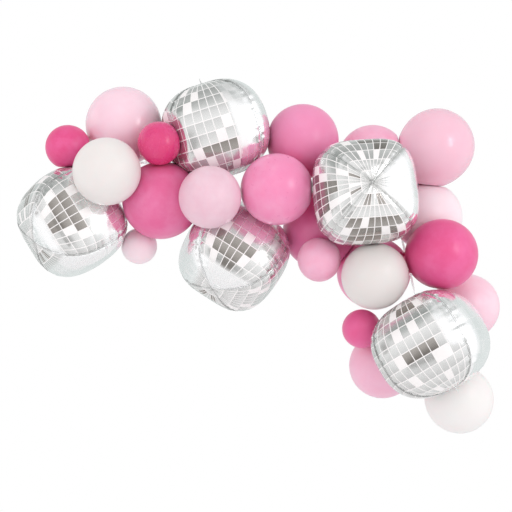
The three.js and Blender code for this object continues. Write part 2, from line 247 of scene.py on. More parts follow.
def fit_latex(name):
    """Centre, radius and neck direction of a latex balloon, and how far its neck's tip is.

    The centre lies on the neck's line, so only its place on the line and the radius are
    looked for. Vertices that a neighbour presses in, or that the neck draws out, drop away.
    """
    points = node_points(name)
    neck, axis = neck_line(points)
    if (points.mean(axis=0) - neck) @ axis > 0:
        axis = -axis
    body = points[np.linalg.norm(points - neck, axis=1) > BODY_START]
    offset = body - neck
    along = offset @ axis
    squared = (offset ** 2).sum(axis=1)
    keep = np.ones(len(body), dtype=bool)
    for share in KEPT_SHARES:
        rows = np.column_stack([2 * along[keep], np.ones(keep.sum())])
        back, rest = np.linalg.lstsq(rows, -squared[keep], rcond=None)[0]
        radius = math.sqrt(max(back * back - rest, 1e-6))
        distance = np.sqrt(np.maximum(squared + 2 * back * along + back * back, 0))
        crown = along + back < CROWN_LIMIT * radius
        error = np.abs(distance - radius) + np.where(crown, 0, 1)
        keep = error <= np.quantile(error[crown], share)
    centre = neck - back * axis
    tip = float(((points - centre) @ axis).max())
    return {
        "centre": centre,
        "radius": radius,
        "axis": axis,
        "tip": tip,
        "stretch": NECK_STRETCHES.get(name, NECK_STRETCH),
    }


def foil_size(local):
    """The half width of the foil ball whose surface passes through each local point."""
    x, y, z = np.abs(local).T
    section = (x ** FOIL_SECTION_POWER + y ** FOIL_SECTION_POWER) ** (1 / FOIL_SECTION_POWER)
    power = FOIL_MERIDIAN_POWER
    return (section ** power + (z / FOIL_POLE_RATIO) ** power) ** (1 / power)


def foil_axes(name):
    """The ball's local X (a gore's middle), Y and Z (its pole) as the columns of a matrix."""
    turn = FOIL_TURNS[name]
    pole = unit(turn["pole"])
    gore = np.asarray(turn["gore"], dtype=float)
    gore = unit(gore - (gore @ pole) * pole)
    return np.column_stack([gore, np.cross(pole, gore), pole])


def fit_foil(name):
    """Centre and half width of a foil ball: the ones that most of its vertices agree on."""
    points = node_points(name)
    axes = foil_axes(name)
    low, high = (np.array(corner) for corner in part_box(name))
    centre = (low + high) / 2
    half = float(np.median(foil_size((points - centre) @ axes)))
    for tolerance in FOIL_TOLERANCES:
        error = foil_size((points - centre) @ axes) - half
        keep = np.abs(error) < tolerance
        kept, kept_error = points[keep], error[keep]
        slopes = [
            (foil_size((kept - centre - FIT_STEP * way) @ axes) - half - kept_error) / FIT_STEP
            for way in np.eye(3)
        ]
        rows = np.column_stack(slopes + [-np.ones(len(kept))])
        change = np.linalg.lstsq(rows, -kept_error, rcond=None)[0]
        centre = centre + change[:3]
        half += change[3]
    return {"centre": centre, "half": float(half), "axes": axes}


# ---------------------------------------------------------------- mesh helpers

def mesh_object(name, points, faces):
    """A smooth-shaded object in the scene, from points in metres."""
    mesh = bpy.data.meshes.new(name)
    mesh.from_pydata(np.asarray(points).tolist(), [], faces)
    mesh.validate()
    mesh.shade_smooth()
    thing = bpy.data.objects.new(name, mesh)
    bpy.context.scene.collection.objects.link(thing)
    return thing


def ring_faces(rings, around):
    """Quads between successive rings of points, then a fan at each end."""
    faces = []
    for ring in range(rings - 1):
        for k in range(around):
            a = ring * around + k
            b = ring * around + (k + 1) % around
            faces.append((a, b, b + around, a + around))
    first, last = rings * around, rings * around + 1
    for k in range(around):
        nxt = (k + 1) % around
        faces.append((first, nxt, k))
        faces.append((last, (rings - 1) * around + k, (rings - 1) * around + nxt))
    return faces


def add_attribute(mesh, name, domain, values):
    """A float attribute that a material reads, on the mesh's points or face corners."""
    layer = mesh.attributes.new(name, "FLOAT", domain)
    layer.data.foreach_set("value", np.asarray(values, dtype=np.float32))


def basis_for(axis):
    """An orthonormal matrix whose third column is the axis."""
    helper = np.array([0.0, 0.0, 1.0]) if abs(axis[2]) < 0.9 else np.array([1.0, 0.0, 0.0])
    side = unit(np.cross(helper, axis))
    return np.column_stack([side, np.cross(axis, side), axis])


def smooth(value, start, end):
    """0 up to the start, 1 from the end on, and an S curve between."""
    t = np.clip((value - start) / (end - start), 0, 1)
    return t * t * (3 - 2 * t)


# ---------------------------------------------------------------- latex balloons

LATEX_AROUND = 80
BODY_STEPS = 56
FLARE_STEPS = 14
KNOT_STEPS = 12
LIP_STEPS = 5
BEAD_STEPS = 8
# The neck narrows and lengthens along these powers.
FLARE_NARROWING = 2.6
FLARE_RISE = 1.4
BEAD_RADIUS = 0.0011
# The angle from the crown at which wrinkles start.
WRINKLE_START = 2.5
# A balloon is this much off round, and its wrinkles are (height, number round the neck).
OFF_ROUND = 0.0025
TWISTED_WRINKLE = (0.00025, 9)
STRAIGHT_WRINKLE = (0.00018, 16)
WRINKLE_TWIST = 260
# An angle that never repeats from one balloon to the next.
GOLDEN_ANGLE = 2.399


def latex_profile(radius, tip, stretch):
    """(distance from the axis, height, wrinkle share) rows from the crown to inside the lip."""
    rows = []
    for step in range(1, BODY_STEPS + 1):
        angle = SHOULDER_ANGLE * step / BODY_STEPS
        neck_side = (1 - math.cos(angle)) / 2
        height = -radius * math.cos(angle) + stretch * radius * neck_side ** 3
        wrinkle = smooth(angle, WRINKLE_START, SHOULDER_ANGLE)
        rows.append((radius * math.sin(angle), height, wrinkle))
    shoulder_r, shoulder_z = rows[-1][:2]
    knot_start = tip - KNOT_LENGTH - LIP_LENGTH
    flare_end = knot_start - FREE_NECK
    flare = max(flare_end - shoulder_z, 0.002)
    for step in range(1, FLARE_STEPS + 1):
        t = step / FLARE_STEPS
        rows.append((
            NECK_RADIUS + (shoulder_r - NECK_RADIUS) * (1 - t) ** FLARE_NARROWING,
            shoulder_z + flare * (1 - (1 - t) ** FLARE_RISE),
            1.0,
        ))
    rows.append((NECK_RADIUS, knot_start, 0.5))
    for step in range(1, KNOT_STEPS):
        t = step / KNOT_STEPS
        bulge = (KNOT_RADIUS - NECK_RADIUS) * math.sin(math.pi * t) ** 0.6
        rows.append((NECK_RADIUS + bulge, knot_start + KNOT_LENGTH * t, 2.0))
    lip_start = knot_start + KNOT_LENGTH
    bead = BEAD_RADIUS
    for step in range(LIP_STEPS + 1):
        t = step / LIP_STEPS
        rows.append((
            NECK_RADIUS + (LIP_RADIUS - 2 * bead - NECK_RADIUS) * t ** 1.5,
            lip_start + (LIP_LENGTH - 2 * bead) * t,
            0.8,
        ))
    for step in range(BEAD_STEPS + 1):
        turn = -0.5 * math.pi + 1.35 * math.pi * step / BEAD_STEPS
        rows.append((
            LIP_RADIUS - bead + bead * math.cos(turn),
            tip - bead + bead * math.sin(turn),
            0.3,
        ))
    rows.append((LIP_RADIUS - 3.2 * bead, tip - 2.2 * bead, 0.3))
    rows.append((NECK_RADIUS * 0.8, tip - 0.8 * LIP_LENGTH, 0.2))
    return rows


def latex_points(fit, seed):
    """All points of one latex balloon in its own frame, and the number of its rings."""
    rows = latex_profile(fit["radius"], fit["tip"], fit["stretch"])
    angles = np.linspace(0, 2 * math.pi, LATEX_AROUND, endpoint=False)
    phase = GOLDEN_ANGLE * seed
    twisted, twisted_count = TWISTED_WRINKLE
    straight, straight_count = STRAIGHT_WRINKLE
    rings = []
    for reach, height, wrinkle in rows:
        share = min(1.0, reach / fit["radius"] * 1.5)
        ripple = 1 + OFF_ROUND * np.cos(2 * angles + phase) * share
        turn = twisted_count * angles + WRINKLE_TWIST * height + phase
        ridge = twisted * wrinkle * np.cos(turn)
        ridge += straight * wrinkle * np.cos(straight_count * angles + phase)
        r = reach * ripple + ridge * min(1.0, reach / 0.002)
        z = np.full(LATEX_AROUND, height)
        rings.append(np.column_stack([r * np.cos(angles), r * np.sin(angles), z]))
    points = np.vstack(rings + [
        [[0, 0, -fit["radius"]]],
        [[0, 0, fit["tip"] - 0.85 * LIP_LENGTH]],
    ])
    return points, len(rows)


# ---------------------------------------------------------------- foil balls

# Points across the tile beside a seam, as shares of the tile.
GORE_EDGE = (0.0, 0.035, 0.13, 0.28, 0.5, 0.75)
POINTS_PER_TILE = 4
ROW_STEPS = 7
# Half width and length of the tail that shows at the first pole and at the second.
TAIL_SIZES = {1: (0.006, 0.012), -1: (0.011, 0.036)}
TAIL_STEPS = 8
TAIL_SINK = 0.005
TAIL_THICKNESS = (0.0016, 0.0005)
# Roughly a gore's width at the equator and its length, for a ball with a half width of 1.
GORE_ARC = 0.25 * 7.27
MERIDIAN_LENGTH = 3.2
# The square corners of the section sharpen towards the poles.
POLE_SQUARENESS = 2.2
# The seam: a fin in a groove, in a shallow valley, as (depth, reach).
SEAM_FIN = 0.0022
SEAM_GROOVE = (0.0024, 0.0045)
SEAM_VALLEY = (0.004, 0.02)
# Puckers beside a seam: lowest and highest radians per metre, heights, and how far out
# they reach and start.
PUCKER_WAVES = (("fine", 380, 520), ("mid", 190, 270), ("wide", 70, 110))
PUCKER_HEIGHTS = {"fine": 0.0015, "mid": 0.0033}
PUCKER_REACH = (0.017, 0.0035)
PHASE_RANGE = 6.28
# Puckers and seams are full size where a gore is at least this wide.
FULL_SIZE_WIDTH = 0.09
# The film is pleated and sinks in near a pole: how far out, how deep, and the pleats'
# height and number round the pole.
POLE_REACH = 0.045
POLE_DIMPLE = 0.005
POLE_PLEATS = (0.0012, 22)


def section_reach(angle, power=FOIL_SECTION_POWER):
    """How far the rounded square section of half width 1 reaches at an angle."""
    c = np.abs(np.cos(angle)) ** power
    s = np.abs(np.sin(angle)) ** power
    return (c + s) ** (-1 / power)


def even_angles(shares):
    """Angles in -45..45 degrees that lie at the given shares of the gore's arc."""
    angle = np.linspace(-math.pi / 4, math.pi / 4, 721)
    reach = section_reach(angle)
    path = np.column_stack([reach * np.cos(angle), reach * np.sin(angle)])
    run = np.concatenate([[0], np.cumsum(np.linalg.norm(np.diff(path, axis=0), axis=1))])
    return np.interp(shares, run / run[-1], angle)


def meridian(shares):
    """(reach, height) of the unit ball at shares of the way from the first pole to the second."""
    turn = np.linspace(0, math.pi, 2881)
    power = 2 / FOIL_MERIDIAN_POWER
    reach = np.sin(turn).clip(0) ** power
    height = FOIL_POLE_RATIO * np.sign(np.cos(turn)) * np.abs(np.cos(turn)) ** power
    run = np.concatenate([[0], np.cumsum(np.hypot(np.diff(reach), np.diff(height)))])
    shares = np.asarray(shares)
    return np.interp(shares, run / run[-1], reach), np.interp(shares, run / run[-1], height)


def gore_shares():
    """Positions across one gore, 0 to just under 1, closer together beside the seams."""
    edge = [share / TILE_COLUMNS for share in GORE_EDGE]
    middle = [k / TILE_COLUMNS + q / (POINTS_PER_TILE * TILE_COLUMNS)
              for k in range(1, TILE_COLUMNS - 1) for q in range(POINTS_PER_TILE)]
    mirrored = [1 - share for share in reversed(edge[1:])]
    return np.array(edge + middle + [1 - 1 / TILE_COLUMNS] + mirrored)


def seam_lift(from_seam, seam_share, side, along, waves):
    """How far the film beside the seams stands off the smooth ball, for one ring of points."""
    fine, mid, wide = (
        np.array([math.sin(wave[key][0] * along + wave[key][1]) for wave in waves])
        for key, _, _ in PUCKER_WAVES
    )
    strength = 0.55 + 0.45 * wide
    pucker = strength * (PUCKER_HEIGHTS["fine"] * fine + PUCKER_HEIGHTS["mid"] * mid)
    reach, start = PUCKER_REACH
    decay = np.exp(-from_seam / reach) * (1 - np.exp(-from_seam / start))
    lift = pucker[side] * decay
    groove, groove_reach = SEAM_GROOVE
    lift -= groove * np.exp(-from_seam / groove_reach)
    lift += (SEAM_FIN + groove) * (seam_share < 0.001)
    valley, valley_reach = SEAM_VALLEY
    return lift - valley * np.exp(-from_seam / valley_reach)


def foil_points(fit, seed, tail):
    """Points of one foil ball in its own frame, with the printed grid's coordinates."""
    rng = np.random.default_rng(seed)
    half = fit["half"]
    shares = gore_shares()
    per_gore = len(shares)
    around = 4 * per_gore
    rows = TILE_ROWS * ROW_STEPS
    row_share = np.arange(1, rows) / rows
    columns = np.concatenate([shares + gore for gore in range(4)]) * TILE_COLUMNS
    from_middle = np.tile(even_angles(shares), 4)
    local = from_middle + np.repeat(np.arange(4), per_gore) * math.pi / 2
    fine_shares = np.linspace(0, 0.5, 400)
    fine_reach = meridian(fine_shares)[0]
    seam_share = np.tile(np.minimum(shares, 1 - shares), 4)
    waves = [
        {
            key: (rng.uniform(low, high), rng.uniform(0, PHASE_RANGE))
            for key, low, high in PUCKER_WAVES
        }
        for _ in range(8)
    ]
    side = np.repeat(np.arange(4), per_gore) * 2 + np.tile((shares > 0.5).astype(int), 4)
    rings, grid_u, grid_v, width, seam = [], [], [], [], []
    for share, r, z in zip(row_share, *meridian(row_share)):
        gore_width = GORE_ARC * half * r
        bulge = section_reach(local, FOIL_SECTION_POWER + POLE_SQUARENESS * (1 - r) ** 0.7)
        from_seam = seam_share * gore_width
        along = share * MERIDIAN_LENGTH * half
        lift = seam_lift(from_seam, seam_share, side, along, waves)
        lift = lift * min(1.0, gore_width / FULL_SIZE_WIDTH)
        near_pole = math.exp(-((r * half) / POLE_REACH) ** 2)
        pleat_height, pleat_count = POLE_PLEATS
        pleat_turn = local * pleat_count + 3 * np.sin(local * 5 + seed)
        pleats = pleat_height * near_pole * np.cos(pleat_turn)
        outward = math.copysign(1, z)
        ring_r = half * r * bulge + lift
        rings.append(np.column_stack([
            ring_r * np.cos(local),
            ring_r * np.sin(local),
            half * z + (pleats - POLE_DIMPLE * near_pole) * outward + lift * 0.6 * z,
        ]))
        # Rows follow the meridian's length at the equator and lie straight near the poles.
        from_pole = min(share, 1 - share)
        straight = np.interp(r * bulge * np.cos(from_middle), fine_reach, fine_shares)
        level = from_pole + (straight - from_pole) * (1 - smooth(from_pole * TILE_ROWS, 2, 6))
        grid_u.append(columns)
        grid_v.append((level if share < 0.5 else 1 - level) * TILE_ROWS)
        width.append(np.full(around, gore_width / TILE_COLUMNS))
        seam.append(from_seam)
    tail_rings = foil_tail(half, around, tail)
    blank = [np.zeros(around)] * len(tail_rings)
    last_row = [np.full(around, float(TILE_ROWS))] * len(tail_rings)
    grid_u += [columns] * len(tail_rings)
    if tail > 0:
        rings = tail_rings[::-1] + rings
        grid_v, width, seam = blank + grid_v, blank + width, blank + seam
    else:
        rings = rings + tail_rings
        grid_v, width, seam = grid_v + last_row, width + blank, seam + blank
    top = rings[0][:, 2].mean() - (0.001 if tail <= 0 else 0)
    bottom = rings[-1][:, 2].mean() + (0.001 if tail >= 0 else 0)
    points = np.vstack(rings + [[[0, 0, top]], [[0, 0, bottom]]])
    extra = {
        "grid_u": np.concatenate(grid_u + [[0.0, 0.0]]),
        "grid_v": np.concatenate(grid_v + [[0.0, float(TILE_ROWS)]]),
        "column_width": np.concatenate(width + [[0.0, 0.0]]),
        "seam": np.concatenate(seam + [[0.0, 0.0]]),
    }
    return points, extra, len(rings), around


def foil_tail(half, around, tail):
    """Rings of the filling tail at a pole, from its root to its heat-sealed end."""
    if tail == 0:
        return []
    half_width, length = TAIL_SIZES[tail]
    root_thickness, end_thickness = TAIL_THICKNESS
    angle = np.linspace(0, 2 * math.pi, around, endpoint=False)
    rings = []
    for step in range(TAIL_STEPS + 1):
        t = step / TAIL_STEPS
        wide = half_width * (0.62 + 0.38 * smooth(t, 0.0, 0.7)) * (1 - 0.25 * smooth(t, 0.9, 1.0))
        thick = root_thickness * (1 - t) + end_thickness
        crease = 0.0006 * math.sin(7 * t)
        rise = half * FOIL_POLE_RATIO - TAIL_SINK + (length + TAIL_SINK) * t
        rings.append(np.column_stack([
            wide * np.cos(angle),
            thick * np.sin(angle) + crease,
            np.full(around, math.copysign(rise, tail)),
        ]))
    return rings


# ---------------------------------------------------------------- contact

# Skins closer than this press flat, with a gap left between them and a soft rim.
CONTACT_REACH = 0.008
CONTACT_GAP = 0.0004
CONTACT_SOFTNESS = 0.0016


def support(body, direction):
    """How far a body's skin reaches from its centre in a direction."""
    return float((body["points"][body["skin"]] @ direction).max())


def press(body, direction, limit):
    """Moves what lies past the limit back to it, with a soft shoulder at the rim."""
    points = body["points"]
    depth = points @ direction
    excess = (depth - limit) / CONTACT_SOFTNESS
    shift = CONTACT_SOFTNESS * np.logaddexp(0, np.clip(excess, -30, None))
    shift = np.where(excess > -8, shift, 0)
    shift = np.where(body["skin"], shift, 0)
    body["points"] = points - shift[:, None] * direction


def press_neighbours(bodies):
    """Presses each pair of touching skins flat, on a plane midway through their overlap."""
    names = list(bodies)
    contacts = []
    for i, a in enumerate(names):
        for b in names[i + 1:]:
            between = bodies[b]["centre"] - bodies[a]["centre"]
            distance = float(np.linalg.norm(between))
            if distance > bodies[a]["size"] + bodies[b]["size"] + 0.02:
                continue
            direction = between / distance
            reach_a = support(bodies[a], direction)
            overlap = reach_a + support(bodies[b], -direction) - distance
            if overlap > -CONTACT_REACH:
                contacts.append((a, b, direction, distance, reach_a - overlap / 2))
    for a, b, direction, distance, plane in contacts:
        press(bodies[a], direction, plane - CONTACT_GAP / 2)
        press(bodies[b], -direction, distance - plane - CONTACT_GAP / 2)


# ---------------------------------------------------------------- materials

# A tile's tones at its edge towards the first pole and at its opposite edge.
TILE_GREY = (0.60, 0.76)
TILE_DARK = ((0.26, 0.24, 0.22), (0.42, 0.40, 0.375))
PRINT_WHITE = (0.95, 0.925, 0.92)
# Painted highlight: the bright silver put where the print is left off.
HIGHLIGHT_PAINT_SILVER = (0.93, 0.94, 0.94)
# The printed lines' width, the softness of their edges, and the height of a row of tiles.
GRID_LINE = 0.0026
LINE_BLUR = 0.0003
ROW_HEIGHT = 0.035
FILM_METAL = 0.87


def linear(colour):
    """An sRGB colour in the linear values that shaders take."""
    return [c / 12.92 if c <= 0.04045 else ((c + 0.055) / 1.055) ** 2.4 for c in colour[:3]]


def record_colour(slot):
    """A slot's base colour in the part's record."""
    for entry in frame["record"]["materials"]:
        if entry["slot"] == slot:
            return linear(entry["base_color"])
    raise KeyError(slot)


class Nodes:
    """Small helper that adds and links shader nodes."""

    def __init__(self, tree):
        self.tree = tree

    def add(self, kind, **settings):
        node = self.tree.nodes.new(kind)
        for key, value in settings.items():
            setattr(node, key, value)
        return node

    def link(self, output, target):
        self.tree.links.new(output, target)

    def math(self, operation, a, b=None):
        node = self.add("ShaderNodeMath", operation=operation)
        for socket, value in zip(node.inputs, (a, b)):
            if value is not None:
                self.set(socket, value)
        return node.outputs[0]

    def set(self, socket, value):
        """Links an output to the socket, or sets a number or a colour on it."""
        if isinstance(value, (int, float)):
            socket.default_value = value
        elif isinstance(value, (tuple, list)):
            socket.default_value = (*value[:3], 1)
        else:
            self.link(value, socket)

    def mix(self, share, a, b):
        node = self.add("ShaderNodeMix", data_type="RGBA")
        for socket, value in ((0, share), (6, a), (7, b)):
            self.set(node.inputs[socket], value)
        return node.outputs[2]

    def mix_value(self, share, a, b):
        node = self.add("ShaderNodeMix", data_type="FLOAT")
        for socket, value in ((0, share), (2, a), (3, b)):
            self.set(node.inputs[socket], value)
        return node.outputs[0]

    def noise(self, scale, detail=2.0, vector=None, roughness=0.5):
        node = self.add("ShaderNodeTexNoise")
        node.inputs["Scale"].default_value = scale
        node.inputs["Detail"].default_value = detail
        node.inputs["Roughness"].default_value = roughness
        if vector is not None:
            self.link(vector, node.inputs["Vector"])
        return node.outputs["Fac"]

    def spread(self, value, low, high):
        node = self.add("ShaderNodeMapRange", interpolation_type="SMOOTHSTEP")
        self.link(value, node.inputs["Value"])
        node.inputs["From Min"].default_value = low
        node.inputs["From Max"].default_value = high
        return node.outputs["Result"]

    def attribute(self, name):
        return self.add("ShaderNodeAttribute", attribute_name=name).outputs["Fac"]

    def bump(self, height, strength, distance):
        node = self.add("ShaderNodeBump")
        node.inputs["Strength"].default_value = strength
        node.inputs["Distance"].default_value = distance
        self.link(height, node.inputs["Height"])
        return node.outputs["Normal"]


def new_material(name):
    """A new material, its node helper and its shader."""
    material = bpy.data.materials.new(name)
    material.use_nodes = True
    nodes = Nodes(material.node_tree)
    shader = material.node_tree.nodes["Principled BSDF"]
    return material, nodes, shader


def object_point(nodes):
    """The shaded point in the piece's own space."""
    return nodes.add("ShaderNodeTexCoord").outputs["Object"]


def latex_material(slot, gloss):
    """Stretched satin latex: paler where it is thin and deeper by the neck, with a per-balloon
    shift that is partly its own tone and partly painted light.
    """
    colour = np.array(record_colour(slot))
    material, nodes, shader = new_material(slot)
    place = object_point(nodes)
    # Thicker skin absorbs more, so shades are powers of the colour.
    deep = tuple(0.94 * colour ** 1.4)
    full = tuple(colour ** 1.12)
    pale = tuple(colour ** 0.84)
    fair = tuple(colour ** 0.6)
    cloud = nodes.spread(nodes.noise(11.0, 5.0, place, 0.6), 0.34, 0.7)
    base = nodes.mix(cloud, full, pale)
    # Each balloon's shift to deeper or paler is partly its own tone and partly painted light:
    # paler where neighbours shade it, deeper where the lamps light it too brightly.
    dye = nodes.attribute("dye")
    base = nodes.mix(nodes.math("MAXIMUM", dye, 0.0), base, deep)
    base = nodes.mix(nodes.math("MAXIMUM", nodes.math("MULTIPLY", dye, -1.0), 0.0), base, fair)
    speck = nodes.spread(nodes.noise(420.0, 1.0, place), 0.62, 0.8)
    base = nodes.mix(nodes.math("MULTIPLY", speck, 0.06), base, deep)
    base = nodes.mix(nodes.attribute("neck_share"), base, deep)
    nodes.link(base, shader.inputs["Base Color"])
    dust = nodes.noise(60.0, 4.0, place)
    rough = nodes.mix_value(dust, gloss - 0.04, gloss + 0.06)
    nodes.link(rough, shader.inputs["Roughness"])
    shader.inputs["IOR"].default_value = 1.52
    shader.inputs["Specular IOR Level"].default_value = 0.45
    shader.inputs["Subsurface Weight"].default_value = 0.35
    shader.inputs["Subsurface Radius"].default_value = (1.0, 0.55, 0.6)
    shader.inputs["Subsurface Scale"].default_value = 0.02
    shader.inputs["Coat Weight"].default_value = 0.12
    shader.inputs["Coat Roughness"].default_value = 0.22
    skin = nodes.bump(nodes.noise(180.0, 3.0, place), 0.12, 0.0006)
    nodes.link(skin, shader.inputs["Normal"])
    return material


def foil_material(name):
    """Mirror-bright film with printed white grid lines and white, grey and dark tiles, and
    painted highlights where the print gives way to bright silver.
    """
    material, nodes, shader = new_material(name)
    place = object_point(nodes)
    u, v = nodes.attribute("grid_u"), nodes.attribute("grid_v")
    width = nodes.attribute("column_width")
    seam = nodes.attribute("seam")
    u_in = nodes.math("FRACT", u)
    v_in = nodes.math("FRACT", v)

    def from_edge(inside):
        """How far a share of a tile is from the nearer edge of the tile."""
        off_middle = nodes.math("ABSOLUTE", nodes.math("SUBTRACT", inside, 0.5))
        return nodes.math("SUBTRACT", 0.5, off_middle)

    side = from_edge(u_in)
    from_row = nodes.math("MULTIPLY", from_edge(v_in), ROW_HEIGHT)
    half_line = nodes.math("MINIMUM", nodes.math("MULTIPLY", width, 0.1), GRID_LINE / 2)
    off_column = nodes.math("SUBTRACT", nodes.math("MULTIPLY", side, width), half_line)
    off_row = nodes.math("SUBTRACT", from_row, GRID_LINE / 2)
    nearest = nodes.math("MINIMUM", off_column, off_row)
    line = nodes.math("SUBTRACT", 1.0, nodes.spread(nearest, -LINE_BLUR, LINE_BLUR))
    # Painted highlight: a ragged patch where the print fades and the film turns bright silver and
    # smoother.
    bare = nodes.attribute("bare")
    ragged = nodes.math("ADD", bare, nodes.math("MULTIPLY", nodes.noise(38.0, 3.0, place), 0.5))
    bare = nodes.spread(ragged, 0.45, 1.05)
    printed = nodes.math("SUBTRACT", 1.0, nodes.math("MULTIPLY", bare, 0.75))
    seam_band = nodes.spread(seam, 0.002, 0.006)
    white = nodes.math("MAXIMUM", line, nodes.attribute("tile_white"))
    white = nodes.math("MULTIPLY", nodes.math("MULTIPLY", white, seam_band), printed)
    grain = nodes.spread(nodes.noise(900.0, 2.0, place), 0.35, 0.65)
    fade = nodes.mix_value(v_in, *TILE_GREY)
    fade = nodes.math("ADD", fade, nodes.math("MULTIPLY", grain, 0.05))
    grey = nodes.add("ShaderNodeCombineColor")
    nodes.link(nodes.math("MULTIPLY", fade, 0.99), grey.inputs[0])
    nodes.link(fade, grey.inputs[1])
    nodes.link(nodes.math("MULTIPLY", fade, 0.985), grey.inputs[2])
    dark = nodes.mix(v_in, *TILE_DARK)
    tile = nodes.mix(nodes.attribute("tile_dark"), grey.outputs[0], dark)
    tile = nodes.mix(bare, tile, HIGHLIGHT_PAINT_SILVER)
    base = nodes.mix(white, tile, PRINT_WHITE)
    nodes.link(base, shader.inputs["Base Color"])
    metal = nodes.math("SUBTRACT", FILM_METAL, nodes.math("MULTIPLY", white, 0.75))
    nodes.link(metal, shader.inputs["Metallic"])
    gloss = nodes.mix_value(bare, 0.22, 0.15)
    nodes.link(nodes.mix_value(white, gloss, 0.38), shader.inputs["Roughness"])
    waves = nodes.noise(14.0, 2.0, place)
    crinkle = nodes.noise(85.0, 3.0, place)
    near_seam = nodes.spread(seam, 0.05, 0.0)
    fine = nodes.math("MULTIPLY", nodes.math("MULTIPLY", crinkle, near_seam), 0.6)
    film = nodes.bump(nodes.math("ADD", waves, fine), 0.35, 0.004)
    nodes.link(film, shader.inputs["Normal"])
    return material


def strip_material(slot):
    """Clear flexible plastic with cloudy scuffs."""
    colour = record_colour(slot)
    material, nodes, shader = new_material(slot)
    place = object_point(nodes)
    scuff = nodes.spread(nodes.noise(240.0, 4.0, place), 0.45, 0.7)
    nodes.link(nodes.mix(scuff, tuple(colour), (0.97, 0.98, 0.99)), shader.inputs["Base Color"])
    nodes.link(nodes.mix_value(scuff, 0.12, 0.34), shader.inputs["Roughness"])
    shader.inputs["Transmission Weight"].default_value = 0.9
    shader.inputs["Alpha"].default_value = 0.4
    shader.inputs["IOR"].default_value = 1.45
    nodes.link(nodes.bump(nodes.noise(90.0, 2.0, place), 0.2, 0.0004), shader.inputs["Normal"])
    return material


# ---------------------------------------------------------------- building the pieces

# How rough each shinier balloon's skin is.
LATEX_GLOSS = {
    "latex_light_pink_top_left": 0.2,
    "latex_light_pink_top_right": 0.24,
    "latex_bubblegum_front": 0.28,
    "latex_small_hot_pink_upper": 0.26,
}
DEFAULT_GLOSS = 0.36
# How much deeper than its slot's colour each balloon is made, or below zero how much paler:
# partly each balloon's own tone and partly painted light, paler where neighbours shade a balloon
# and deeper where the lamps light it too brightly.
BALLOON_TONE_AND_PAINTED_LIGHT = {
    "latex_light_pink_top_left": -0.2,
    "latex_light_pink_top_right": 0.8,
    "latex_small_hot_pink_upper": 0.5,
    "latex_small_hot_pink_lower": -0.35,
    "latex_hot_pink_right": -0.15,
    "latex_rose_left": 0.1,
    "latex_rose_top": -0.6,
    "latex_deep_pink_centre": -0.5,
    "latex_pink_lower": -0.4,
    "latex_blush_right": -0.8,
    "latex_small_blush_below": -0.3,
    "latex_pale_pink_front": 0.1,
    "latex_white_centre": 1.0,
    "latex_white_left": 0.5,
    "latex_white_bottom": -0.6,
    "latex_bubblegum_front": 0.2,
}


def node_slot(name):
    """The material slot of a node in the part's record."""
    for entry in frame["record"]["subparts"]:
        if entry["node"] == name:
            return entry["material_slot"]
    raise KeyError(name)


materials = {}


def material_for(make, *settings):
    """The material with these settings, made the first time that it is asked for."""
    if settings not in materials:
        materials[settings] = make(*settings)
    return materials[settings]


def latex_body(name, seed):
    """A latex balloon's points round its centre, before its neighbours press it."""
    fit = fit_latex(name)
    points, ring_count = latex_points(fit, seed)
    body_height = fit["radius"] * (1 + fit["stretch"])
    return {
        "centre": fit["centre"],
        "points": points @ basis_for(fit["axis"]).T,
        "skin": points[:, 2] < body_height,
        "size": body_height,
        "rings": ring_count,
        "around": LATEX_AROUND,
        "height": points[:, 2] / fit["radius"],
    }


def foil_body(name, seed):
    """A foil ball's points round its centre, before its neighbours press it."""
    fit = fit_foil(name)
    points, extra, ring_count, around = foil_points(fit, seed, FOIL_TURNS[name]["tail"])
    return {
        "centre": fit["centre"],
        "points": points @ fit["axes"].T,
        "skin": np.abs(points[:, 2]) <= fit["half"] * FOIL_POLE_RATIO,
        "size": fit["half"] * 1.2,
        "rings": ring_count,
        "around": around,
        "extra": extra,
    }


def finish_piece(piece, name, material):
    """Gives a piece its material, hangs it on the root body and hides the CAD node that it
    replaces.
    """
    piece.data.materials.append(material)
    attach(piece, "root")
    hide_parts(name)


def build_latex(name, body):
    faces = ring_faces(body["rings"], body["around"])
    piece = mesh_object(name + "_skin", body["centre"] + body["points"], faces)
    height = body["height"]
    neck = 0.55 * smooth(height, 0.55, 1.05) + 0.25 * smooth(height, -0.2, 0.8)
    add_attribute(piece.data, "neck_share", "POINT", np.clip(neck, 0, 1))
    # Per-balloon tone shift, partly painted light: paler on balloons that neighbours shade,
    # deeper on ones the lamps light too brightly.
    add_attribute(piece.data, "dye", "POINT", np.full(len(height), BALLOON_TONE_AND_PAINTED_LIGHT.get(name, 0.0)))
    gloss = LATEX_GLOSS.get(name, DEFAULT_GLOSS)
    finish_piece(piece, name, material_for(latex_material, node_slot(name), gloss))


def tile_class(name, u, v):
    """The letter of the printed tile at grid place u, v of a foil ball."""
    gore = int(u / TILE_COLUMNS) % 4
    print_rows = GORE_PRINTS[GORE_ORDER[name][gore]]
    return print_rows[min(int(v), TILE_ROWS - 1)][int(u) % TILE_COLUMNS]


def highlight_paint_share(name, u, v):
    """How much painted highlight, bright silver without print, lies at each corner, 0 to 1, with
    soft edges.
    """
    share = np.zeros(len(u))
    for gore, first_column, last_column, first_row, last_row in HIGHLIGHT_PAINT_AREAS[name]:
        column = u - gore * TILE_COLUMNS
        inside = smooth(column, first_column - 1, first_column + 0.2)
        inside = inside * (1 - smooth(column, last_column - 0.2, last_column + 1))
        inside = inside * smooth(v, first_row - 1, first_row + 0.4)
        inside = inside * (1 - smooth(v, last_row - 0.4, last_row + 1))
        share = np.maximum(share, inside)
    return share


